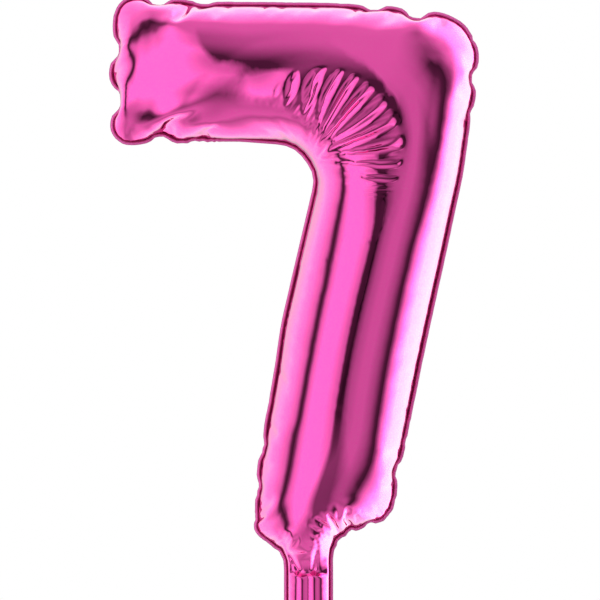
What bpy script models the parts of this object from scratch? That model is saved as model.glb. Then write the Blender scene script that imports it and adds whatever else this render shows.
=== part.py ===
"""Foil number balloon, the numeral seven, inflated.

Two sheets of metallised film are heat-sealed to each other round their edge. The neck and the open tail
below the body are part of the same two sheets. A self-sealing valve of two thin clear films sits in the neck:
each film is welded to its panel at the crease between neck and tail, and the two lie face to face above it.

Metres, +Z up. The origin is the centre of the tail's open mouth, X runs along the arm of the numeral and
the front panel faces -Y.
"""

import math

import bmesh
import bpy
import numpy as np
from mathutils import Matrix, Vector
from mathutils.geometry import delaunay_2d_cdt

# Driving dimensions
TAIL_WIDTH = 0.0322
CREASE = 0.0557  # height of the crease between the tail and the neck, where the valve is welded

# The cut edge, anticlockwise from the mouth's right end: each corner as (x, z), and the radius that rounds it
OUTLINE = (
    ((TAIL_WIDTH / 2, 0.0), 0.0),
    ((TAIL_WIDTH / 2, 0.0760), 0.0200),  # right shoulder
    ((0.0532, 0.0905), 0.0130),  # foot of the right-hand edge
    ((0.1008, 0.3120), 0.1200),  # elbow, where the right-hand edge starts to lean
    ((0.1095, 0.3720), 0.1000),
    ((0.1095, 0.4170), 0.0300),  # upper right corner
    ((0.0150, 0.4272), 0.1500),  # the top edge is level up to here and falls beyond
    ((-0.1280, 0.4284), 0.0120),  # upper left corner
    ((-0.1250, 0.3305), 0.0100),  # the arm's lower left corner hangs a little
    ((-0.0960, 0.3362), 0.0200),
    ((-0.0450, 0.3362), 0.0500),
    ((-0.0090, 0.3335), 0.0200),  # the inner corner is rounded in two steps
    ((0.0046, 0.3140), 0.0180),
    ((-0.0180, 0.2180), 0.1500),
    ((-0.0318, 0.1300), 0.1500),
    ((-0.0365, 0.0810), 0.0070),  # foot of the left-hand edge
    ((-TAIL_WIDTH / 2, 0.0648), 0.0110),  # left shoulder
    ((-TAIL_WIDTH / 2, 0.0), 0.0),
)

SEAM = 0.0024  # width of the heat-sealed margin
FILM = 0.0003
GAP = 0.0003  # kept between parts that touch
FULLNESS = 0.93  # depth of the body over its width
TAIL_FULLNESS = 0.60
CREASE_FULLNESS = 0.52
NECK_RISE = 0.022  # the neck becomes as full as the body over this height above the crease
CREASE_REACH = 0.006

OUTLINE_STEP = 0.0062
LATTICE_STEP = 0.0078
RIMS = (0.0013, 0.0045)  # rows of points just inside the seam, where the panel rises steeply
LATTICE_CLEAR = 0.6  # kept between the lattice and the rims, in lattice steps
TAIL_CLEAR = 0.0005
TAIL_COLUMNS = 5
TAIL_ROWS = 5

AT_MOUTH = 1e-6  # a point lower than this is on the mouth

VALVE_HEIGHT = 0.060
VALVE_WIDTH = 0.0220
FUNNEL_HEIGHT = 0.018  # the films close from the weld to flat over this height
WELD_INSET = 0.0022  # from the seam to a film's side edge at the weld
WELD_GAP = 0.0013  # from a panel's middle to its film's middle, measured along Y at the weld
VALVE_ROWS = 15
VALVE_COLUMNS = 8

FOIL_COLOUR = (0.90, 0.13, 0.50, 1.0)
CLEAR_COLOUR = (0.85, 0.86, 0.88, 1.0)
SEAM_HALF = GAP / 2 + FILM / 2  # from the seam plane to the middle of a sealed film
TAIL_INNER = TAIL_WIDTH / 2 - SEAM


def start_scene():
    for obj in list(bpy.data.objects):
        bpy.data.objects.remove(obj)
    collection = bpy.data.collections.new("foil_number_balloon")
    bpy.context.scene.collection.children.link(collection)
    return collection


def film_material(name, colour, metallic, roughness):
    material = bpy.data.materials.new(name)
    material.use_nodes = True
    shader = material.node_tree.nodes["Principled BSDF"]
    shader.inputs["Base Color"].default_value = colour
    shader.inputs["Metallic"].default_value = metallic
    shader.inputs["Roughness"].default_value = roughness
    return material


def filleted(outline):
    """The outline's points, with an arc of the given radius at each corner."""
    points = []
    for i, (corner, radius) in enumerate(outline):
        corner = Vector(corner)
        if radius == 0:
            points.append(corner)
            continue
        before = (Vector(outline[i - 1][0]) - corner).normalized()
        after = (Vector(outline[i + 1][0]) - corner).normalized()
        half_angle = before.angle(after) / 2
        tangent = radius / math.tan(half_angle)
        centre = corner + (before + after).normalized() * radius / math.sin(half_angle)
        start = corner + before * tangent - centre
        # angle_signed is positive clockwise, and Matrix.Rotation is positive anticlockwise
        turn = -start.angle_signed(corner + after * tangent - centre)
        steps = max(2, math.ceil(abs(turn) * radius / OUTLINE_STEP))
        for k in range(steps + 1):
            points.append(centre + Matrix.Rotation(turn * k / steps, 2) @ start)
    return points

def respaced(points, step):
    """The open line again, with its points evenly spaced about step apart."""
    line = np.array([p[:] for p in points])
    along = np.concatenate([[0], np.cumsum(np.linalg.norm(np.diff(line, axis=0), axis=1))])
    at = np.linspace(0, along[-1], round(along[-1] / step) + 1)
    return np.stack([np.interp(at, along, line[:, k]) for k in range(2)], axis=1)


def inset(line, distance):
    """The line moved to its left, which is into the sheet; its two ends slide along the mouth."""
    along = np.gradient(line, axis=0)
    along[0] = along[-1] = (0, 1)
    along[-1] *= -1
    along /= np.linalg.norm(along, axis=1)[:, None]
    return line + distance * np.stack([-along[:, 1], along[:, 0]], axis=1)


def inside(polygon, points):
    """Which points lie inside the polygon, by crossings of a ray."""
    hit = np.zeros(len(points), bool)
    for a, b in zip(polygon, np.roll(polygon, -1, axis=0)):
        spans = (a[1] > points[:, 1]) != (b[1] > points[:, 1])
        rise = b[1] - a[1] or 1.0
        hit ^= spans & (points[:, 0] < a[0] + (points[:, 1] - a[1]) * (b[0] - a[0]) / rise)
    return hit


def lattice_points(rim):
    """A triangular lattice inside the rim, kept clear of it, above the tail."""
    low, high = rim.min(axis=0), rim.max(axis=0)
    rows = []
    for j, z in enumerate(np.arange(CREASE + NECK_RISE, high[1], LATTICE_STEP * math.sqrt(3) / 2)):
        x = np.arange(low[0], high[0], LATTICE_STEP) + (j % 2) * LATTICE_STEP / 2
        rows.append(np.stack([x, np.full(len(x), z)], axis=1))
    points = np.concatenate(rows)
    apart = np.linalg.norm(points[:, None] - rim[None], axis=2).min(axis=1)
    return points[inside(rim, points) & (apart > LATTICE_CLEAR * LATTICE_STEP)]


def tail_points():
    """Rows across the tail and neck, so that the crease and the mouth are straight lines of points."""
    columns = np.linspace(-1, 1, TAIL_COLUMNS) * (TAIL_INNER - RIMS[-1] - TAIL_CLEAR)
    heights = list(np.linspace(0, CREASE - CREASE_REACH, TAIL_ROWS))
    heights += [CREASE, CREASE + CREASE_REACH, CREASE + 2 * CREASE_REACH]
    return np.array([(x, z) for z in heights for x in columns])

def smooth(t):
    t = np.clip(t, 0, 1)
    return t * t * (3 - 2 * t)


def fullness(z):
    """Depth over width at a height: the tail is slack, the neck is full, and the crease pinches in."""
    share = TAIL_FULLNESS + (FULLNESS - TAIL_FULLNESS) * smooth((z - CREASE) / NECK_RISE)
    pinch = 1 - np.clip(np.abs(z - CREASE) / CREASE_REACH, 0, 1)
    return share - (TAIL_FULLNESS - CREASE_FULLNESS) * smooth(pinch)


def inflated(points, triangles, sealed):
    """Half the depth at each point.

    The square root of twice the membrane's height under an even load is a half circle across a long strip,
    and it rounds off towards corners and ends as an inflated sheet does.
    """
    corners = points[triangles]
    edges = np.roll(corners, -1, axis=1) - corners
    area = 0.5 * np.abs(edges[:, 0, 0] * edges[:, 1, 1] - edges[:, 0, 1] * edges[:, 1, 0])
    stiffness = np.zeros((len(points), len(points)))
    load = np.zeros(len(points))
    for a in range(3):
        np.add.at(load, triangles[:, a], area / 3)
        for b in range(3):
            opposite_a, opposite_b = edges[:, (a + 1) % 3], edges[:, (b + 1) % 3]
            value = (opposite_a * opposite_b).sum(axis=1) / (4 * area)
            np.add.at(stiffness, (triangles[:, a], triangles[:, b]), value)
    free = ~sealed
    height = np.zeros(len(points))
    height[free] = np.linalg.solve(stiffness[np.ix_(free, free)], load[free])
    return np.sqrt(2 * np.maximum(height, 0)) * fullness(points[:, 1])


def panel_sheet():
    """(points, depth, triangles, margin quads) of one panel; the cut edge's points come first."""
    edge = respaced(filleted(OUTLINE), OUTLINE_STEP)
    seam = inset(edge, SEAM)
    rims = [inset(edge, SEAM + r) for r in RIMS]
    interior = np.concatenate([*rims, tail_points(), lattice_points(rims[-1])])
    flat = np.concatenate([seam, interior])
    ring = [(i, i + 1) for i in range(len(seam) - 1)]
    mouth = [i for i in range(len(flat)) if abs(flat[i, 1]) < AT_MOUTH]
    mouth.sort(key=lambda i: flat[i, 0])
    ring += list(zip(mouth, mouth[1:]))
    made = delaunay_2d_cdt([Vector(p) for p in flat], ring, [], 1, 1e-7)
    points = np.array([v[:] for v in made[0]])
    triangles = np.array([f[:] for f in made[2]])
    sealed = np.zeros(len(points), bool)
    new_of = {old: new for new, olds in enumerate(made[3]) for old in olds}
    seam_at = [new_of[i] for i in range(len(seam))]
    sealed[seam_at] = True
    depth = inflated(points, triangles, sealed)
    first = len(edge)
    margins = [(i, i + 1, first + seam_at[i + 1], first + seam_at[i]) for i in range(len(edge) - 1)]
    points = np.concatenate([edge, points])
    depth = np.concatenate([np.zeros(first), depth])
    return points, depth, triangles + first, margins


def new_object(name, vertices, faces, material, collection):
    mesh = bpy.data.meshes.new(name)
    mesh.from_pydata(vertices, [], faces)
    work = bmesh.new()
    work.from_mesh(mesh)
    bmesh.ops.recalc_face_normals(work, faces=work.faces)
    work.to_mesh(mesh)
    work.free()
    mesh.materials.append(material)
    obj = bpy.data.objects.new(name, mesh)
    collection.objects.link(obj)
    solid = obj.modifiers.new("film", "SOLIDIFY")
    solid.thickness = FILM
    solid.offset = 0
    solid.use_even_offset = True
    mesh.shade_smooth()
    mesh.set_sharp_from_angle(angle=math.radians(40))
    return obj


def add_panel(name, sheet, side, material, collection):
    """A panel on the front (side -1) or the rear (side +1) of the seam plane."""
    points, depth, triangles, margins = sheet
    vertices = [(p[0], side * (SEAM_HALF + d), p[1]) for p, d in zip(points, depth)]
    faces = [tuple(int(i) for i in t) for t in triangles] + margins
    return new_object(name, vertices, faces, material, collection)


def depth_at(sheet, x, z):
    """Half the depth of the body at a place, read from the panel's own triangles."""
    points, depth, triangles, _ = sheet
    a, b, c = (points[triangles[:, k]] for k in range(3))
    twice_area = (b[:, 0] - a[:, 0]) * (c[:, 1] - a[:, 1]) - (c[:, 0] - a[:, 0]) * (b[:, 1] - a[:, 1])
    share_b = ((x - a[:, 0]) * (c[:, 1] - a[:, 1]) - (c[:, 0] - a[:, 0]) * (z - a[:, 1])) / twice_area
    share_c = ((b[:, 0] - a[:, 0]) * (z - a[:, 1]) - (x - a[:, 0]) * (b[:, 1] - a[:, 1])) / twice_area
    shares = np.stack([1 - share_b - share_c, share_b, share_c], axis=1)
    at = int(np.argmax(shares.min(axis=1)))
    return float(shares[at] @ depth[triangles[at]])

def add_valve_film(name, sheet, side, material, collection):
    """A valve film: it follows its panel at the weld, and lies against the other film above the funnel."""
    vertices = []
    for r in range(VALVE_ROWS):
        up = VALVE_HEIGHT * r / (VALVE_ROWS - 1)
        closing = float(smooth(up / FUNNEL_HEIGHT))
        half_width = (TAIL_INNER - WELD_INSET) * (1 - closing) + VALVE_WIDTH / 2 * closing
        for c in range(VALVE_COLUMNS + 1):
            x = half_width * (2 * c / VALVE_COLUMNS - 1)
            arch = max(0.0, depth_at(sheet, x, CREASE) - WELD_GAP) * (1 - closing)
            vertices.append((x, side * (SEAM_HALF + arch), CREASE + up))
    wide = VALVE_COLUMNS + 1
    faces = [
        (r * wide + c, r * wide + c + 1, (r + 1) * wide + c + 1, (r + 1) * wide + c)
        for r in range(VALVE_ROWS - 1)
        for c in range(VALVE_COLUMNS)
    ]
    return new_object(name, vertices, faces, material, collection)


def main():
    collection = start_scene()
    foil = film_material("pink_foil", FOIL_COLOUR, 1.0, 0.12)
    clear = film_material("clear_film", CLEAR_COLOUR, 0.0, 0.30)
    sheet = panel_sheet()
    add_panel("front_panel", sheet, -1, foil, collection)
    add_panel("rear_panel", sheet, 1, foil, collection)
    add_valve_film("valve_front_film", sheet, -1, clear, collection)
    add_valve_film("valve_rear_film", sheet, 1, clear, collection)


main()
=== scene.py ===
"""Looks of the foil number balloon: the panels are inflated as sheets that can't stretch.

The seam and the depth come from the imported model. A lattice of threads is laid over the front panel and
blown up in three rounds, coarse to fine. Along straight edges the threads have the model's own lengths.
Near the convex corners they come from a larger flat pattern, and what is too much turns into lobes along
the seam. Spare film round the concave bends turns into fans of pleats. The rear panel is the front one
mirrored. Lengths are in metres, and the camera looks along +Y.
"""

import math

import bmesh
import bpy
import numpy as np
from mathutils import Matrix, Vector
from mathutils.bvhtree import BVHTree
from mathutils.geometry import barycentric_transform, delaunay_2d_cdt


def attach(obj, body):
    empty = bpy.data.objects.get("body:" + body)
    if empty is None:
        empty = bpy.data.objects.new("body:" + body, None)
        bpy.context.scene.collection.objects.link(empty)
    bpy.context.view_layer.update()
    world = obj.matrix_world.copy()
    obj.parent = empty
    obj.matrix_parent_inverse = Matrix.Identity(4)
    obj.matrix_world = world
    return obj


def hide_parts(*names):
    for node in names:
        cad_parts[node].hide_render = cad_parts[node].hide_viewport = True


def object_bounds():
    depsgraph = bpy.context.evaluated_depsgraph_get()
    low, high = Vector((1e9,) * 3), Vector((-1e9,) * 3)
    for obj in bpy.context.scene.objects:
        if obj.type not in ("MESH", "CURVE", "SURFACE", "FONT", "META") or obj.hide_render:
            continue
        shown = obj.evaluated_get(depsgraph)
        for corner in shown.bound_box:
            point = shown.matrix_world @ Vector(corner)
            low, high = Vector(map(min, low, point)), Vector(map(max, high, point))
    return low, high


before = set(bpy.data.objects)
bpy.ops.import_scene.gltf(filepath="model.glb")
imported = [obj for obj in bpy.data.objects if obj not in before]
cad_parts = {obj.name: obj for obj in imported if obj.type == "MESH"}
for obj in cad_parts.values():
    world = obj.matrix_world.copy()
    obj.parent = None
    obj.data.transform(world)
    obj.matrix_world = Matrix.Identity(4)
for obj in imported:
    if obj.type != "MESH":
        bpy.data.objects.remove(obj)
cad_low, cad_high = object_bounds()

# Sizes taken from the model
CREASE = 0.0557  # height of the crease between the neck and the flat tail
SEAM = 0.0024  # width of the sealed margin
FILM = 0.0003  # thickness of the model's film
SEAM_HALF = 0.0003  # from the seam plane to the middle of a sealed film

# Lattice
STEPS = (0.009, 0.0045, 0.0028)  # its spacing in each round of the inflation, coarse to fine
FINE_STEP = 0.0015  # its spacing in the last round where folds are small
FINE_REACH = 0.066  # that is this far round the inner corner
FINE_BELOW = 0.096  # and below this height, for the neck and the tail
SEAM_ROWS = (0.5, 1.2)  # rows of points along the seam, in spacings from it
FREE_SHARE = 0.55  # a lattice point stays this share of a spacing away from the seam
ROW_SHARE = 0.6  # and this share away from those rows

# Film gathered at the convex corners. A bend is measured on points this far apart along the outline.
BEND_STEP = 0.004
GATHER_NEAR = 0.022  # all of the spare film goes to points as near to the corner as this
GATHER_FAR = 0.060  # and none to points further off than this
GATHER_TURN = 0.9  # a turn of this many radians counts as a full corner

# Fans of pleats, one at each concave bend: the inner corner and the two shoulders above the neck.
# heights: where the bend is. side: of x = 0, or 0 for both. span: how many outline points each way its
# turn is measured over. back: how far outside the outline the pleats meet. reach: the pleats fade in over
# the first two distances from there and out over the last two. turn: the same in radians from the +X
# direction. pleats: in a full turn. spare: extra film along an arc.
FANS = (
    {
        "heights": (0.20, 0.45),
        "side": 0,
        "span": 8,
        "back": 0.0,
        "reach": (0.003, 0.010, 0.048, 0.062),
        "turn": (-0.55, -0.15, 1.60, 2.30),
        "pleats": 28,
        "spare": 0.15,
    },
    {
        "heights": (0.05, 0.12),
        "side": 1,
        "span": 4,
        "back": 0.008,
        "reach": (0.010, 0.013, 0.026, 0.034),
        "turn": (1.10, 1.40, 2.60, 3.00),
        "pleats": 26,
        "spare": 0.11,
    },
    {
        "heights": (0.05, 0.12),
        "side": -1,
        "span": 4,
        "back": 0.008,
        "reach": (0.010, 0.013, 0.020, 0.028),
        "turn": (-0.10, 0.20, 1.00, 1.40),
        "pleats": 34,
        "spare": 0.10,
    },
)

# The crest runs close to the inner corner: beyond it the film lies flatter towards the outer corner
OUTER_TURN = 0.85  # the outer corner's direction from the inner one, in radians from +X
OUTER_SPREAD = 1.05  # the flattening fades out over this angle on both sides
OUTER_REACH = (0.056, 0.130)  # and fades in over these distances
OUTER_FLAT = 0.24  # share of the depth that it takes away at most

FACE_FROM = 0.038  # above this depth the arm and the elbow rise more slowly, which gives their flat face
FACE_RISE = 0.2  # share of the rise that is left
FACE_HEIGHTS = (0.27, 0.33)  # that fades in between these heights

# The tail: two flutes side by side below a wavy crease, standing a little off the other panel
TAIL_FLUTES = (-0.0137, -0.0003, 0.0137)  # where they start, meet and end
TAIL_BULGE = 0.13  # height of a flute over its width
TAIL_ROUND = 0.0016  # how far both stand off
TAIL_ROUND_POWER = 6  # how suddenly that ends at the tail's edges
TAIL_FADE = 0.0025  # height over which the flutes fade in below the crease
CREASE_DROP = 0.0012
CREASE_WAVE = 0.0005
CREASE_WAVE_LENGTH = 0.013

# Creases drawn in the neck
NECK_CREASES = ((-0.0066, -0.50), (0.0030, 0.12))  # (x at the neck's foot, lean)
NECK_CREASE_HALF = 0.0026  # half their width
NECK_CREASE_DEPTH = 0.25  # share of the depth
NECK_CREASE_TOP = 0.095  # they fade out up to this height

# Reading the outline
EDGE_TILT = 0.3  # a face of the film's edge has a normal whose y is smaller than this
FACE_TILT = 0.9  # and a face of the sheet one whose y is larger than this
MOUTH_TOP = 1e-5  # the tail's mouth lies below this height
SAME_CORNER = 1e-6
DENSE = 20  # points put on each side of the outline while it is respaced


def cut_edge(node):
    """The cut edge of a CAD panel as an open line in (x, z), from the mouth's right end."""
    work = bmesh.new()
    work.from_mesh(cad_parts[node].data)
    bmesh.ops.remove_doubles(work, verts=work.verts, dist=SAME_CORNER)
    links = {}
    for edge in work.edges:
        a, b = edge.verts
        sealed = max(abs(a.co.y), abs(b.co.y)) < FILM
        at_mouth = max(a.co.z, b.co.z) < MOUTH_TOP
        tilts = sorted(abs(f.normal.y) for f in edge.link_faces)
        at_cut = len(tilts) == 2 and tilts[0] < EDGE_TILT and tilts[1] > FACE_TILT
        if sealed and at_cut and not at_mouth:
            links.setdefault(a, []).append(b)
            links.setdefault(b, []).append(a)
    line = [max((v for v in links if len(links[v]) == 1), key=lambda v: v.co.x)]
    onward = links[line[0]]
    while onward:
        line.append(onward[0])
        onward = [v for v in links[line[-1]] if v is not line[-2]]
    outline = np.array([(v.co.x, v.co.z) for v in line])
    work.free()
    return outline


def fine_here(points, centre):
    """Where the lattice of the last round is fine. The centre is the inner corner."""
    return (np.linalg.norm(points - centre, axis=1) < FINE_REACH) | (points[:, 1] < FINE_BELOW)


def spacing(points, step, centre):
    """How far apart points are wanted."""
    return np.where(fine_here(points, centre) & (step == STEPS[-1]), FINE_STEP, step)


def respaced(line, step, centre):
    """The line with its points spaced as wanted."""
    dense = [np.linspace(a, b, DENSE, endpoint=False) for a, b in zip(line, line[1:])]
    dense = np.concatenate(dense + [line[-1:]])
    pieces = np.linalg.norm(np.diff(dense, axis=0), axis=1)
    wanted = spacing(0.5 * (dense[1:] + dense[:-1]), step, centre)
    along = np.concatenate([[0], np.cumsum(pieces / wanted)])
    at = np.linspace(0, along[-1], round(along[-1]) + 1)
    return np.stack([np.interp(at, along, dense[:, k]) for k in range(2)], axis=1)


def inset(line, distance):
    """The line moved into the sheet. Both its ends run straight up the tail."""
    along = np.gradient(line, axis=0)
    along[0], along[-1] = (0, 1), (0, -1)
    along /= np.linalg.norm(along, axis=1)[:, None]
    return line + distance * np.stack([-along[:, 1], along[:, 0]], axis=1)


def inside(polygon, points):
    """Which points lie in the polygon."""
    hit = np.zeros(len(points), bool)
    for a, b in zip(polygon, np.roll(polygon, -1, axis=0)):
        spans = (a[1] > points[:, 1]) != (b[1] > points[:, 1])
        rise = b[1] - a[1] or 1.0
        hit ^= spans & (points[:, 0] < a[0] + (points[:, 1] - a[1]) * (b[0] - a[0]) / rise)
    return hit


def distance_to(line, points):
    """How far each point is from the nearest point of the line."""
    return np.array([np.linalg.norm(line - p, axis=1).min() for p in points])


def rising(values, start, end):
    """0 up to the start, 1 from the end on, and even between. The end may be the smaller one."""
    return np.clip((values - start) / (end - start), 0, 1)


def between(values, stops):
    """0 outside the four stops, 1 between the middle two."""
    return rising(values, stops[0], stops[1]) * rising(values, stops[3], stops[2])


def lattice(seam, step):
    """Points of a lattice of equal triangles inside the closed line."""
    low, high = seam.min(axis=0), seam.max(axis=0)
    rows = []
    for j, z in enumerate(np.arange(low[1] + step, high[1], step * math.sqrt(3) / 2)):
        x = np.arange(low[0], high[0], step) + (j % 2) * step / 2
        rows.append(np.stack([x, np.full(len(x), z)], axis=1))
    points = np.concatenate(rows)
    points = points[inside(seam, points)]
    return points[distance_to(seam, points) > FREE_SHARE * step]


def bends(edge, span):
    """Points along the outline and how far it turns at each, in radians: positive where it is convex."""
    line = respaced(edge, BEND_STEP, edge[0])
    before = line[span:-span] - line[: -2 * span]
    after = line[2 * span :] - line[span:-span]
    cross = before[:, 0] * after[:, 1] - before[:, 1] * after[:, 0]
    return line[span:-span], np.arctan2(cross, (before * after).sum(axis=1))


def concave_bend(edge, fan):
    """The middle of a fan's concave bend in the outline, and its direction into the sheet."""
    line, turn = bends(edge, fan["span"])
    low, high = fan["heights"]
    here = (line[:, 1] > low) & (line[:, 1] < high) & (line[:, 0] * fan["side"] >= 0)
    k = int(np.argmin(np.where(here, turn, math.inf)))
    along = line[k + 1] - line[k - 1]
    return line[k], np.array([-along[1], along[0]]) / np.linalg.norm(along)


def gathered(points, edge):
    """How much of the pattern's spare film each point gets: all near the convex corners, none elsewhere."""
    line, turn = bends(edge, FANS[0]["span"])
    share = np.zeros(len(points))
    for place, angle in zip(line, turn):
        near = rising(np.linalg.norm(points - place, axis=1), GATHER_FAR, GATHER_NEAR)
        share = np.maximum(share, near * min(max(angle / GATHER_TURN, 0), 1))
    return share * rising(points[:, 1], *NECK_PLAIN)


def fans(points, edge):
    """For each fan: how much each point belongs to it, its angle and distance there, and the fan."""
    out = []
    for fan in FANS:
        place, inward = concave_bend(edge, fan)
        away = points - (place - fan["back"] * inward)
        reach = np.linalg.norm(away, axis=1)
        turn = np.arctan2(away[:, 1], away[:, 0])
        out.append((between(reach, fan["reach"]) * between(turn, fan["turn"]), turn, reach, fan))
    return out


def shaped(points, depth, centre):
    """The model's depth, with a flatter outer corner and face, and the neck's and the tail's creases."""
    x, z = points.T
    away = points - centre
    reach = np.linalg.norm(away, axis=1)
    off_line = np.abs(np.arctan2(away[:, 1], away[:, 0]) - OUTER_TURN)
    outward = np.clip(1 - off_line / OUTER_SPREAD, 0, 1)
    beyond = rising(reach, *OUTER_REACH)
    depth = depth * (1 - OUTER_FLAT * outward ** 2 * (3 - 2 * outward) * beyond)
    face = rising(z, *FACE_HEIGHTS)
    depth = depth - face * (1 - FACE_RISE) * np.maximum(depth - FACE_FROM, 0)
    stops = np.array(TAIL_FLUTES)
    cell = np.clip(np.searchsorted(stops, x) - 1, 0, len(stops) - 2)
    width = stops[cell + 1] - stops[cell]
    at = np.clip((x - stops[cell]) / width, 0, 1)
    wave = CREASE_WAVE * np.sin(2 * np.pi * x / CREASE_WAVE_LENGTH)
    fade = np.clip((CREASE - CREASE_DROP + wave - z) / TAIL_FADE, 0, 1)
    standing = TAIL_ROUND * (1 - np.clip(np.abs(x) / stops[-1], 0, 1) ** TAIL_ROUND_POWER)
    depth = depth + fade * (TAIL_BULGE * width * 4 * at * (1 - at) + standing)
    for foot, lean in NECK_CREASES:
        beside = np.abs(x - foot - lean * (z - CREASE)) / NECK_CREASE_HALF
        above = rising(z, NECK_CREASE_TOP, CREASE) * (z > CREASE)
        depth = depth * (1 - NECK_CREASE_DEPTH * above * np.clip(1 - beside, 0, 1))
    return depth


TRIANGLES_INSIDE = 1  # what delaunay_2d_cdt is asked for
SAME_POINT = 1e-7


def triangulated(edge, step, centre):
    """(points, triangles, number of seam points) of the sheet. The seam's points come first."""
    seam = inset(respaced(edge, step, centre), SEAM)
    across = FINE_STEP if step == STEPS[-1] else step
    mouth = np.arange(seam[-1, 0] + across, seam[0, 0] - across / 2, across)
    mouth = np.stack([mouth, np.zeros(len(mouth))], axis=1)
    ring = np.concatenate([seam, mouth])
    rows = [inset(seam, share * spacing(seam, step, centre)[:, None]) for share in SEAM_ROWS]
    rows = np.concatenate([row[row[:, 1] > step] for row in rows])
    inner = lattice(ring, step)
    if step == STEPS[-1]:
        fine = lattice(ring, FINE_STEP)
        inner = np.concatenate([inner[~fine_here(inner, centre)], fine[fine_here(fine, centre)]])
    apart = spacing(inner, step, centre)
    clear_of_rows = distance_to(rows, inner) > ROW_SHARE * apart
    clear_of_seam = distance_to(seam, inner) > SEAM_ROWS[-1] * apart
    points = np.concatenate([ring, rows, inner[clear_of_rows & clear_of_seam]])
    links = [(i, (i + 1) % len(ring)) for i in range(len(ring))]
    corners = [Vector(p) for p in points]
    made = delaunay_2d_cdt(corners, links, [], TRIANGLES_INSIDE, SAME_POINT)
    order = np.array([olds[0] for olds in made[3]])
    return points, order[np.array([f[:] for f in made[2]])], len(seam)


def edges_of(triangles):
    """Every edge once, as a pair of points."""
    sides = [triangles[:, [0, 1]], triangles[:, [1, 2]], triangles[:, [2, 0]]]
    return np.unique(np.sort(np.concatenate(sides), axis=1), axis=0)


def hinges_of(triangles):
    """Pairs of corners facing each other across an edge."""
    across = {}
    for t in triangles:
        for k in range(3):
            key = tuple(sorted((int(t[k]), int(t[(k + 1) % 3]))))
            across.setdefault(key, []).append(int(t[(k + 2) % 3]))
    return np.array([v for v in across.values() if len(v) == 2])


def coloured(pairs, count):
    """The pairs in groups in which no point comes twice."""
    used = [0] * count
    groups = {}
    for i, (a, b) in enumerate(pairs):
        taken = used[a] | used[b]
        colour = 0
        while taken >> colour & 1:
            colour += 1
        used[a] |= 1 << colour
        used[b] |= 1 << colour
        groups.setdefault(colour, []).append(i)
    return [np.array(g) for g in groups.values()]


def depth_from_cad(points, node):
    """How far the model's panel bulges at each point."""
    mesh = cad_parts[node].data
    tree = BVHTree.FromPolygons([v.co for v in mesh.vertices], [p.vertices for p in mesh.polygons])
    depth = np.zeros(len(points))
    for i, (x, z) in enumerate(points):
        hit = tree.ray_cast(Vector((x, -1, z)), Vector((0, 1, 0)))[0]
        depth[i] = -hit.y if hit else 0
    return depth


# Inflation
TRIALS = (6, 3, 0)  # free inflations in each round that change the flat pattern
TRIAL_SHARE = 0.7  # share of what is off that goes into one change
INFLATE_STEPS = (400, 350, 450)  # steps of time in each round
PRESSURE = (0.12, 0.12, 0.06)  # how hard the gas pushes in each round
PRESSURE_UNIT = 0.01
FINE_LIFT = 1.5  # a finer lattice gives more under the same pressure, so it gets less
SLACK_HEIGHT = 0.030  # the pressure fades in over this height above the crease
DRAG = 0.94  # share of its speed that a point keeps from one step to the next
STIFF_SWEEPS = 2  # sweeps over all the threads in one step
CRUSH = 0.25  # how well a thread resists being shortened: film folds easily
BEND = 0.10  # how well the sheet resists being folded
HOLD = (0.004, 0.008, 0.008)  # how firmly the seam is drawn back to the model's seam in one step
CORNER_HOLD = 0.15  # the same at the inner corner
CORNER_HOLD_REACH = (0.050, 0.140)  # full up to the first distance from it, gone at the second
CORNER_HOLD_FADE = 3
SEAM_STAY = 0.012  # the doubled margin keeps its length over this distance, so lobes come no shorter

# The flat pattern: it starts larger by a share and shrinks as far as the full shape's threads let it
PATTERN_START = 1.1
PATTERN_PULL = 0.1  # share of what is too long that one sweep takes away
PATTERN_PUSH = 0.5  # share of what is too short that it adds
PATTERN_SWEEPS = 1500
EVENING = 40  # times that a change of it is smoothed in the first round

PLEAT_UNEVEN = 0.6  # how far the pleats are shifted, in radians of their wave
PLEAT_WAVES = ((5.3, 0.7), (9.1, 2.0))  # by waves of the angle, as (number, phase)

NECK_PLAIN = (0.066, 0.090)  # below the first height the sheet has no spare film, above the second all
NECK_DEPTH_CALMING = 12  # times that the neck's depth is smoothed before the inflation
NECK_CALM = (0.063, 0.075)  # the inflated shape is smoothed below the first height, fading to the second
NECK_CALMING = 36
FACE_CALM = (0.014, 0.026)  # the arm's face is smoothed too, fading in over these distances from the seam
FACE_CALM_BEYOND = (0.004, 0.016)  # and over these distances outside the fine lattice
FACE_CALMING = 30
TINY = 1e-12  # keeps divisors off zero


def relax(x, pairs, groups, rest, weight, pull, push):
    """One sweep over the pairs: those longer than rest are drawn in by pull, shorter ones out by push."""
    for g in groups:
        i, j = pairs[g, 0], pairs[g, 1]
        d = x[j] - x[i]
        length = np.linalg.norm(d, axis=1)
        wrong = length - rest[g]
        share = np.where(wrong > 0, pull, push)
        wi, wj = weight[i], weight[j]
        d *= (share * wrong / (length * (wi + wj + TINY)))[:, None]
        x[i] += wi[:, None] * d
        x[j] -= wj[:, None] * d


def carried_over(values, old_points, old_triangles, points):
    """Values at old_points, read at other points of the same sheet."""
    corners = [Vector((x, z, 0)) for x, z in old_points]
    tree = BVHTree.FromPolygons(corners, [tuple(int(i) for i in t) for t in old_triangles])
    triangles, shares = [], []
    axes = [Vector((1, 0, 0)), Vector((0, 1, 0)), Vector((0, 0, 1))]
    for x, z in points:
        place, _, index, _ = tree.find_nearest(Vector((x, z, 0)))
        triangles.append(index)
        shares.append(barycentric_transform(place, *(corners[i] for i in old_triangles[index]), *axes)[:])
    return np.einsum("nk,nkd->nd", np.array(shares), values[old_triangles[triangles]])


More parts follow.
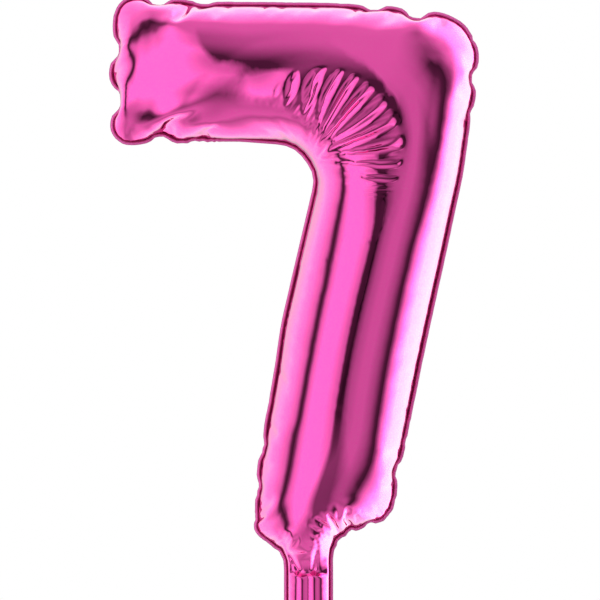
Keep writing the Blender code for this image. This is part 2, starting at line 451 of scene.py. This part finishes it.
def vertex_normals(x, triangles):
    """The sum of the normals of the triangles at each point, as long as twice their area."""
    a, b, c = (x[triangles[:, k]] for k in range(3))
    face = np.cross(b - a, c - a)
    out = np.zeros_like(x)
    for axis in range(3):
        for k in range(3):
            out[:, axis] += np.bincount(triangles[:, k], face[:, axis], len(x))
    return out


def evened(values, pairs, times):
    """The values smoothed over the sheet."""
    count = np.bincount(pairs.ravel(), minlength=len(values))[:, None]
    for _ in range(times):
        total = np.zeros_like(values)
        for k in range(values.shape[1]):
            total[:, k] += np.bincount(pairs[:, 0], values[pairs[:, 1], k], len(values))
            total[:, k] += np.bincount(pairs[:, 1], values[pairs[:, 0], k], len(values))
        values = 0.5 * values + 0.5 * total / count
    return values


def unswung(free, full, moving):
    """The free shape in (x, z), turned and moved as a whole to lie on the full one."""
    a, b = free[:, [0, 2]], full[:, [0, 2]]
    middle_a, middle_b = a[moving].mean(axis=0), b[moving].mean(axis=0)
    p, q = a[moving] - middle_a, b[moving] - middle_b
    turn = math.atan2((p[:, 0] * q[:, 1] - p[:, 1] * q[:, 0]).sum(), (p * q).sum())
    rotation = np.array([[math.cos(turn), math.sin(turn)], [-math.sin(turn), math.cos(turn)]])
    return (a - middle_a) @ rotation + middle_b


def lengths(points, pairs):
    """How far apart the points of each pair are."""
    return np.linalg.norm(points[pairs[:, 0]] - points[pairs[:, 1]], axis=1)


def thread_lengths(flat, sheet, pairs):
    """The model's own lengths, and the pattern's near the convex corners."""
    plain = lengths(sheet["full"], pairs)
    share = sheet["gathered"][pairs].mean(axis=1)
    return plain + share * (lengths(flat, pairs) - plain)


def with_spare(length, sheet, pairs):
    """The lengths with spare film along the arcs round the concave bends."""
    along = sheet["full"][pairs[:, 1]] - sheet["full"][pairs[:, 0]]
    for share, turn, _, fan in sheet["fans"]:
        turn = turn[pairs].mean(axis=1)
        across = along[:, 2] * np.cos(turn) - along[:, 0] * np.sin(turn)
        spare = 1 + fan["spare"] * share[pairs].mean(axis=1)
        length = np.sqrt(length ** 2 + (spare ** 2 - 1) * across ** 2)
    return length


def blown_up(x, flat, sheet, steps, hold):
    """The sheet after a number of steps. Front half only: the seam stays in the plane y = 0."""
    pairs, hinges, triangles = sheet["pairs"], sheet["hinges"], sheet["triangles"]
    seam, step, target = sheet["seam"], sheet["step"], sheet["full"][sheet["seam"]]
    rest = with_spare(thread_lengths(flat, sheet, pairs), sheet, pairs)
    hinge_rest = thread_lengths(flat, sheet, hinges)
    corner = flat[triangles]
    doubled = np.abs(np.cross(corner[:, 1] - corner[:, 0], corner[:, 2] - corner[:, 0]))
    area = sum(np.bincount(triangles[:, k], doubled, len(x)) for k in range(3))[:, None] + TINY
    weight = np.where(sheet["fixed"], 0.0, 1.0)
    force = (PRESSURE[STEPS.index(step)] * step * step * sheet["lift"] * weight)[:, None]
    x = x.copy()
    old = x.copy()
    for _ in range(steps):
        ahead = x + DRAG * (x - old)
        old = x.copy()
        ahead += force * vertex_normals(x, triangles) / area * PRESSURE_UNIT / step
        x = ahead
        for _ in range(STIFF_SWEEPS):
            relax(x, pairs, sheet["groups"], rest, weight, 1.0, CRUSH)
            relax(x, hinges, sheet["hinge_groups"], hinge_rest, weight, 0.0, BEND)
        x[seam] += hold[:, None] * (target - x[seam])
        x[seam, 1] = 0
        x[:, 1] = np.minimum(x[:, 1], 0)
    return x


def pleated(start, sheet):
    """The start of the last round: the model's shape where no film is gathered, with the fans' pleats."""
    full = sheet["full"]
    normal = vertex_normals(full, sheet["triangles"])
    normal /= np.linalg.norm(normal, axis=1)[:, None] + TINY
    start = full + sheet["gathered"][:, None] * (start - full)
    for share, turn, reach, fan in sheet["fans"]:
        height = 2 * reach / fan["pleats"] * np.sqrt(fan["spare"] * share)
        uneven = PLEAT_UNEVEN * sum(np.sin(number * turn + phase) for number, phase in PLEAT_WAVES)
        start += (height * np.sin(fan["pleats"] * turn + uneven))[:, None] * normal
    return start


def make_sheet(edge, step, centre):
    """One round's lattice, the full shape that it should come to, and what the inflation needs."""
    points, triangles, seam_count = triangulated(edge, step, centre)
    pairs = edges_of(triangles)
    depth = depth_from_cad(points, "front_panel")
    in_neck = rising(points[:, 1], NECK_PLAIN[1], NECK_PLAIN[0])
    depth += in_neck * (evened(depth[:, None], pairs, NECK_DEPTH_CALMING)[:, 0] - depth)
    depth = shaped(points, depth, centre)
    depth[:seam_count] = 0
    stay = max(2, round(SEAM_STAY / step))
    stays = np.stack([np.arange(seam_count - stay), np.arange(stay, seam_count)], axis=1)
    hinges = np.concatenate([hinges_of(triangles), stays])
    finer = spacing(points, step, centre) / step
    return {
        "points": points,
        "triangles": triangles,
        "seam": np.arange(seam_count),
        "fixed": points[:, 1] < CREASE,
        "full": np.stack([points[:, 0], -depth, points[:, 1]], axis=1),
        "step": step,
        "pairs": pairs,
        "groups": coloured(pairs, len(points)),
        "hinges": hinges,
        "hinge_groups": coloured(hinges, len(points)),
        "lift": np.clip((points[:, 1] - CREASE) / SLACK_HEIGHT, 0, 1) * finer ** FINE_LIFT,
        "gathered": gathered(points, edge),
        "fans": fans(points, edge) if step == STEPS[-1] else [],
    }


def first_pattern(sheet):
    """A flat sheet whose threads are nowhere much shorter than the full shape needs."""
    flat = sheet["points"] * PATTERN_START
    needed = lengths(sheet["full"], sheet["pairs"])
    free = np.ones(len(flat))
    for _ in range(PATTERN_SWEEPS):
        relax(flat, sheet["pairs"], sheet["groups"], needed, free, PATTERN_PULL, PATTERN_PUSH)
    return flat


def corrected(flat, start, sheet, steps, trials):
    """The pattern, changed a few times by what the sheet is off the model's outline when blown up freely.

    It doesn't settle: the seam ends up where it does because blown_up draws it back to the model's seam.
    """
    points = sheet["points"]
    body = points[:, 1] > NECK_PLAIN[1]
    times = int(EVENING * (STEPS[0] / sheet["step"]) ** 2)
    for _ in range(trials):
        start = blown_up(start, flat, sheet, steps, np.zeros(len(sheet["seam"])))
        off = unswung(start, sheet["full"], body) - points
        flat = flat - TRIAL_SHARE * evened(off, sheet["pairs"], times)
    return flat


def calmed(x, sheet, centre):
    """The inflated shape with the neck smoothed and, in the last round, the arm's face."""
    points, pairs, seam = sheet["points"], sheet["pairs"], sheet["seam"]
    neck = rising(points[:, 1], NECK_CALM[1], NECK_CALM[0])[:, None]
    off = x - sheet["full"]
    x = x + neck * (evened(off, pairs, NECK_CALMING) - off)
    if sheet["step"] == STEPS[-1]:
        face = rising(distance_to(points[seam], points), *FACE_CALM)
        face *= rising(points[:, 1], *FACE_HEIGHTS)
        beyond = np.linalg.norm(points - centre, axis=1) - FINE_REACH
        face *= rising(beyond, *FACE_CALM_BEYOND)
        x[:, 1] += face * (evened(x[:, 1:2], pairs, FACE_CALMING)[:, 0] - x[:, 1])
    x[seam, 1] = 0
    return x


def inflated_panel():
    """The front panel blown up: (points, triangles, number of seam points, which come first)."""
    edge = cut_edge("front_panel")
    centre, _ = concave_bend(edge, FANS[0])
    x, pattern, sheet = None, None, None
    for step, trials, steps, drawn in zip(STEPS, TRIALS, INFLATE_STEPS, HOLD):
        before, sheet = sheet, make_sheet(edge, step, centre)
        points, full, seam = sheet["points"], sheet["full"], sheet["seam"]
        if before is None:
            pattern = first_pattern(sheet)
            start = full
        else:
            pattern = carried_over(pattern, before["points"], before["triangles"], points)
            start = carried_over(x, before["points"], before["triangles"], points)
            start[sheet["fixed"]] = full[sheet["fixed"]]
            start[seam, 1] = 0
        pattern = corrected(pattern, start, sheet, steps, trials)
        start = pleated(start, sheet) if step == STEPS[-1] else full
        from_corner = np.linalg.norm(points[seam] - centre, axis=1)
        near = rising(from_corner, CORNER_HOLD_REACH[1], CORNER_HOLD_REACH[0])
        hold = drawn + (CORNER_HOLD - drawn) * near ** CORNER_HOLD_FADE
        x = calmed(blown_up(start, pattern, sheet, steps, hold), sheet, centre)
    return x, sheet["triangles"], len(sheet["seam"])


# Surface
MARGIN_SMOOTHING = 6  # times that the seam's direction is smoothed before the margin is laid beside it
PIECE_FILM = 0.0002  # thickness of the drawn film


def subdivided(x, triangles):
    """One step of Loop subdivision: (points, triangles, the old edges). The rim keeps its place."""
    directed = np.concatenate([triangles[:, [0, 1]], triangles[:, [1, 2]], triangles[:, [2, 0]]])
    opposite = np.concatenate([triangles[:, 2], triangles[:, 0], triangles[:, 1]])
    pairs, index = np.unique(np.sort(directed, axis=1), axis=0, return_inverse=True)
    index = index.ravel()
    shared = np.bincount(index, minlength=len(pairs))
    far = np.zeros((len(pairs), 3))
    for axis in range(3):
        far[:, axis] = np.bincount(index, x[opposite, axis], len(pairs))
    middle = 0.5 * (x[pairs[:, 0]] + x[pairs[:, 1]])
    inner = shared == 2
    middle[inner] = 0.75 * middle[inner] + 0.125 * far[inner]
    count = np.bincount(pairs.ravel(), minlength=len(x))[:, None]
    around = np.zeros_like(x)
    for axis in range(3):
        around[:, axis] += np.bincount(pairs[:, 0], x[pairs[:, 1], axis], len(x))
        around[:, axis] += np.bincount(pairs[:, 1], x[pairs[:, 0], axis], len(x))
    beta = (0.625 - (0.375 + 0.25 * np.cos(2 * np.pi / count)) ** 2) / count
    moved = (1 - count * beta) * x + beta * around
    rim = np.unique(pairs[~inner])
    moved[rim] = x[rim]
    a, b, c = triangles.T
    ab, bc, ca = len(x) + index.reshape(3, -1)
    quarters = (a, ab, ca), (b, bc, ab), (c, ca, bc), (ab, bc, ca)
    finer = np.concatenate([np.stack(quarter, axis=1) for quarter in quarters])
    return np.concatenate([moved, middle]), finer, pairs


def seam_line(pairs, count, seam_count):
    """The seam's points in order after a subdivision of so many points with these edges."""
    middle = {(int(a), int(b)): count + k for k, (a, b) in enumerate(pairs)}
    line = []
    for i in range(seam_count - 1):
        line += [i, middle[(i, i + 1)]]
    return line + [seam_count - 1]


def film_object(name, vertices, faces, materials, margin_from):
    """A mesh object whose faces from margin_from on have the second material."""
    mesh = bpy.data.meshes.new(name)
    mesh.from_pydata(vertices.tolist(), [], faces)
    for material in materials:
        mesh.materials.append(material)
    for k in range(margin_from, len(mesh.polygons)):
        mesh.polygons[k].material_index = 1
    mesh.shade_smooth()
    piece = bpy.data.objects.new(name, mesh)
    bpy.context.scene.collection.objects.link(piece)
    return piece


def cut_line(seam):
    """The cut edge outside the seam, a margin's width away."""
    along = np.gradient(seam, axis=0)
    for _ in range(MARGIN_SMOOTHING):
        along[1:-1] = (along[:-2] + 2 * along[1:-1] + along[2:]) / 4
    along[0], along[-1] = (0, 1), (0, -1)
    along /= np.linalg.norm(along, axis=1)[:, None]
    cut = seam + SEAM * np.stack([along[:, 1], -along[:, 0]], axis=1)
    return np.stack([cut[:, 0], np.zeros(len(cut)), cut[:, 1]], axis=1)


def make_panels(foil, margin):
    """Both panels, each with its half of the sealed margin."""
    x, triangles, seam_count = inflated_panel()
    coarse = len(x)
    x, triangles, pairs = subdivided(x, triangles)
    line = seam_line(pairs, coarse, seam_count)
    first = len(x)
    vertices = np.concatenate([x, cut_line(x[line][:, [0, 2]])])
    quads = [(line[i], line[i + 1], first + i + 1, first + i) for i in range(len(line) - 1)]
    for name, side in (("front_foil", 1), ("rear_foil", -1)):
        placed = vertices * (1, side, 1) - (0, side * SEAM_HALF, 0)
        faces = [tuple(int(i) for i in t) for t in triangles] + quads
        if side < 0:
            faces = [f[::-1] for f in faces]
        piece = film_object(name, placed, faces, (foil, margin), len(triangles))
        solid = piece.modifiers.new("film", "SOLIDIFY")
        solid.thickness = PIECE_FILM
        solid.offset = 0
        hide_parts("front_panel" if side > 0 else "rear_panel")
        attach(piece, "balloon")


def node_tree(material):
    """The material's nodes and links, and its main shader."""
    material.use_nodes = True
    nodes = material.node_tree.nodes
    return nodes, material.node_tree.links, nodes["Principled BSDF"]


def foil_material():
    """Tinted metallised film under a clear lacquer, almost a mirror."""
    material = bpy.data.materials.new("pink_foil")
    nodes, links, shader = node_tree(material)
    shader.inputs["Base Color"].default_value = (1.0, 0.03, 0.44, 1)
    shader.inputs["Metallic"].default_value = 1.0
    shader.inputs["Coat Weight"].default_value = 1.0
    shader.inputs["Coat Roughness"].default_value = 0.03
    shader.inputs["Coat IOR"].default_value = 1.8
    place = nodes.new("ShaderNodeTexCoord")
    haze = nodes.new("ShaderNodeTexNoise")
    haze.inputs["Scale"].default_value = 30
    haze.inputs["Detail"].default_value = 3
    rough = nodes.new("ShaderNodeMapRange")
    rough.inputs["To Min"].default_value = 0.02
    rough.inputs["To Max"].default_value = 0.05
    grain = nodes.new("ShaderNodeTexNoise")
    grain.inputs["Scale"].default_value = 160
    bump = nodes.new("ShaderNodeBump")
    bump.inputs["Strength"].default_value = 0.06
    bump.inputs["Distance"].default_value = 0.0003
    links.new(place.outputs["Object"], haze.inputs["Vector"])
    links.new(place.outputs["Object"], grain.inputs["Vector"])
    links.new(haze.outputs["Fac"], rough.inputs["Value"])
    links.new(rough.outputs["Result"], shader.inputs["Roughness"])
    links.new(grain.outputs["Fac"], bump.inputs["Height"])
    links.new(bump.outputs["Normal"], shader.inputs["Normal"])
    return material


def margin_material():
    """The sealed margin: paler, duller and finely embossed by the sealing bar."""
    material = bpy.data.materials.new("sealed_margin")
    nodes, links, shader = node_tree(material)
    shader.inputs["Base Color"].default_value = (1.0, 0.2, 0.6, 1)
    shader.inputs["Metallic"].default_value = 1.0
    shader.inputs["Roughness"].default_value = 0.55
    place = nodes.new("ShaderNodeTexCoord")
    emboss = nodes.new("ShaderNodeTexVoronoi")
    emboss.inputs["Scale"].default_value = 1400
    bump = nodes.new("ShaderNodeBump")
    bump.inputs["Strength"].default_value = 0.3
    bump.inputs["Distance"].default_value = 0.0002
    links.new(place.outputs["Object"], emboss.inputs["Vector"])
    links.new(emboss.outputs["Distance"], bump.inputs["Height"])
    links.new(bump.outputs["Normal"], shader.inputs["Normal"])
    return material


def clear_film_material():
    """The valve's clear film, slightly hazy."""
    material = bpy.data.materials.new("clear_film")
    nodes, links, shader = node_tree(material)
    shader.inputs["Base Color"].default_value = (0.85, 0.86, 0.88, 1)
    shader.inputs["Alpha"].default_value = 0.55
    place = nodes.new("ShaderNodeTexCoord")
    haze = nodes.new("ShaderNodeTexNoise")
    haze.inputs["Scale"].default_value = 120
    rough = nodes.new("ShaderNodeMapRange")
    rough.inputs["To Min"].default_value = 0.18
    rough.inputs["To Max"].default_value = 0.38
    links.new(place.outputs["Object"], haze.inputs["Vector"])
    links.new(haze.outputs["Fac"], rough.inputs["Value"])
    links.new(rough.outputs["Result"], shader.inputs["Roughness"])
    return material


# Studio: brightness by angle from the direction of -Y, as (degrees, level), for each way round
STUDIO = {
    "right": (
        (0, 0.1), (6, 0.3), (13, 0.58), (26, 0.78), (39, 0.78), (53, 0.52), (60, 0.3), (66, 0.1),
        (71, 0.06), (76, 0.36), (84, 1.3), (92, 2.3), (112, 5.0), (138, 3.2), (158, 0.8), (180, 0.5),
    ),
    "left": (
        (0, 0.5), (6, 0.75), (13, 0.95), (26, 1.65), (53, 1.7), (63, 1.0), (68, 0.25), (72, 0.06),
        (76, 0.15), (84, 1.0), (102, 1.6), (126, 1.8), (145, 1.2), (160, 0.7), (180, 0.5),
    ),
    "up": (
        (0, 0.8), (12, 0.85), (26, 0.88), (64, 0.9), (81, 0.95), (101, 1.5), (126, 2.0), (145, 1.8),
        (165, 0.9), (180, 0.5),
    ),
    "down": (
        (0, 0.5), (8, 0.34), (37, 0.25), (52, 0.62), (66, 0.85), (77, 0.93), (86, 0.62), (97, 1.0),
        (107, 1.5), (135, 1.8), (155, 0.9), (180, 0.5),
    ),
}
STUDIO_PEAK = 10.0  # the ramps hold levels over this, as a ramp holds no more than 1
# How much of a direction is sideways: up and down rule below the first share, the sides above the second
UPRIGHT = (0.12, 0.55)
# A tall dark strip in front of the balloon, which gives the dark lines in the foil
STRIP_MIDDLE = -0.05  # in radians across from -Y
STRIP_HALF = 0.07  # half its width
STRIP_SOFT = 0.07  # width of its soft edge
STRIP_WIDER = 0.16  # how much wider it gets towards its top
STRIP_FOOT = (-0.32, -0.14)  # it fades in between these upward parts of a unit direction
STRIP_TOP = (0.90, 0.20)  # and out from the second of these to the first
STRIP_DARK = 0.9  # share of the light that it takes away
HALF_TURN = 180  # degrees
NO_DIVIDE_BY_ZERO = 1e-6


def make_world():
    """A studio that only reflections and shading see. The camera sees white behind the balloon."""
    world = bpy.data.worlds.new("studio")
    bpy.context.scene.world = world
    world.use_nodes = True
    tree = world.node_tree
    nodes, links = tree.nodes, tree.links
    nodes.clear()

    def math_node(operation, a, b=None):
        node = nodes.new("ShaderNodeMath")
        node.operation = operation
        for socket, value in zip(node.inputs, (a, b)):
            if isinstance(value, (int, float)):
                socket.default_value = value
            elif value is not None:
                links.new(value, socket)
        return node.outputs[0]

    def mixed(share, a, b):
        """a where the share is 0 and b where it is 1."""
        return math_node("ADD", a, math_node("MULTIPLY", share, math_node("SUBTRACT", b, a)))

    def ranged(value, start, end):
        """0 at the start and 1 at the end."""
        node = nodes.new("ShaderNodeMapRange")
        node.inputs["From Min"].default_value = start
        node.inputs["From Max"].default_value = end
        links.new(value, node.inputs["Value"])
        return node.outputs["Result"]

    place = nodes.new("ShaderNodeTexCoord")
    parts = nodes.new("ShaderNodeSeparateXYZ")
    links.new(place.outputs["Generated"], parts.inputs[0])
    x, y, z = parts.outputs
    angle = math_node("DIVIDE", math_node("ARCCOSINE", math_node("MULTIPLY", y, -1.0)), math.pi)
    level = {}
    for way, stops in STUDIO.items():
        ramp = nodes.new("ShaderNodeValToRGB")
        elements = ramp.color_ramp.elements
        while len(elements) < len(stops):
            elements.new(0.5)
        for element, (degrees, value) in zip(elements, stops):
            element.position = degrees / HALF_TURN
            element.color = (value / STUDIO_PEAK,) * 3 + (1,)
        links.new(angle, ramp.inputs[0])
        level[way] = ramp.outputs[0]
    across = math_node("MULTIPLY", x, x)
    upward = math_node("MULTIPLY", z, z)
    whole = math_node("ADD", math_node("ADD", across, upward), NO_DIVIDE_BY_ZERO)
    sideways = math_node("DIVIDE", across, whole)
    sideways = ranged(sideways, *UPRIGHT)
    horizontal = mixed(math_node("GREATER_THAN", x, 0.0), level["left"], level["right"])
    vertical = mixed(math_node("GREATER_THAN", z, 0.0), level["down"], level["up"])
    azimuth = math_node("ARCTAN2", x, math_node("MULTIPLY", y, -1.0))
    beside = math_node("ABSOLUTE", math_node("SUBTRACT", azimuth, STRIP_MIDDLE))
    wider = math_node("MULTIPLY", math_node("MAXIMUM", z, 0.0), STRIP_WIDER)
    beside = math_node("SUBTRACT", beside, wider)
    strip = ranged(beside, STRIP_HALF + STRIP_SOFT, STRIP_HALF)
    strip = math_node("MULTIPLY", strip, ranged(z, *STRIP_FOOT))
    strip = math_node("MULTIPLY", strip, ranged(z, *STRIP_TOP))
    brightness = math_node("MULTIPLY", mixed(sideways, vertical, horizontal), STUDIO_PEAK)
    left_over = math_node("SUBTRACT", 1.0, math_node("MULTIPLY", strip, STRIP_DARK))
    brightness = math_node("MULTIPLY", brightness, left_over)
    studio = nodes.new("ShaderNodeBackground")
    links.new(brightness, studio.inputs["Strength"])
    white = nodes.new("ShaderNodeBackground")
    white.inputs["Strength"].default_value = 1.0
    white.inputs["Color"].default_value = (1, 1, 1, 1)
    path = nodes.new("ShaderNodeLightPath")
    mix = nodes.new("ShaderNodeMixShader")
    output = nodes.new("ShaderNodeOutputWorld")
    links.new(path.outputs["Is Camera Ray"], mix.inputs[0])
    links.new(studio.outputs[0], mix.inputs[1])
    links.new(white.outputs[0], mix.inputs[2])
    links.new(mix.outputs[0], output.inputs[0])


# Camera and floor
VIEW_WIDTH = 0.393  # width of the picture where the seam is
VIEW_CENTRE = (-0.0056, 0.2325)  # x and z
CAMERA_AWAY = 2.6
FLOOR_RADIUS = 0.36
FLOOR_SIDES = 96
FLOOR_GAP = 0.001  # below the tail


def make_camera():
    data = bpy.data.cameras.new("camera")
    camera = bpy.data.objects.new("camera", data)
    bpy.context.scene.collection.objects.link(camera)
    camera.location = (VIEW_CENTRE[0], -CAMERA_AWAY, VIEW_CENTRE[1])
    camera.rotation_euler = (math.pi / 2, 0, 0)
    data.angle = 2 * math.atan(VIEW_WIDTH / 2 / CAMERA_AWAY)
    bpy.context.scene.camera = camera


def make_floor():
    mesh = bpy.data.meshes.new("floor")
    work = bmesh.new()
    bmesh.ops.create_circle(work, cap_ends=True, segments=FLOOR_SIDES, radius=FLOOR_RADIUS)
    work.to_mesh(mesh)
    work.free()
    floor = bpy.data.objects.new("floor", mesh)
    floor.location.z = cad_low.z - FLOOR_GAP
    material = bpy.data.materials.new("pale_floor")
    _, _, shader = node_tree(material)
    shader.inputs["Base Color"].default_value = (0.8, 0.8, 0.8, 1)
    shader.inputs["Roughness"].default_value = 0.7
    mesh.materials.append(material)
    bpy.context.scene.collection.objects.link(floor)
    floor.visible_glossy = False


def dress_valve(material):
    for name in ("valve_front_film", "valve_rear_film"):
        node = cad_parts[name]
        node.data.materials.clear()
        node.data.materials.append(material)


def main():
    make_camera()
    make_floor()
    make_world()
    bpy.context.scene.view_settings.view_transform = "Standard"
    make_panels(foil_material(), margin_material())
    dress_valve(clear_film_material())


main()
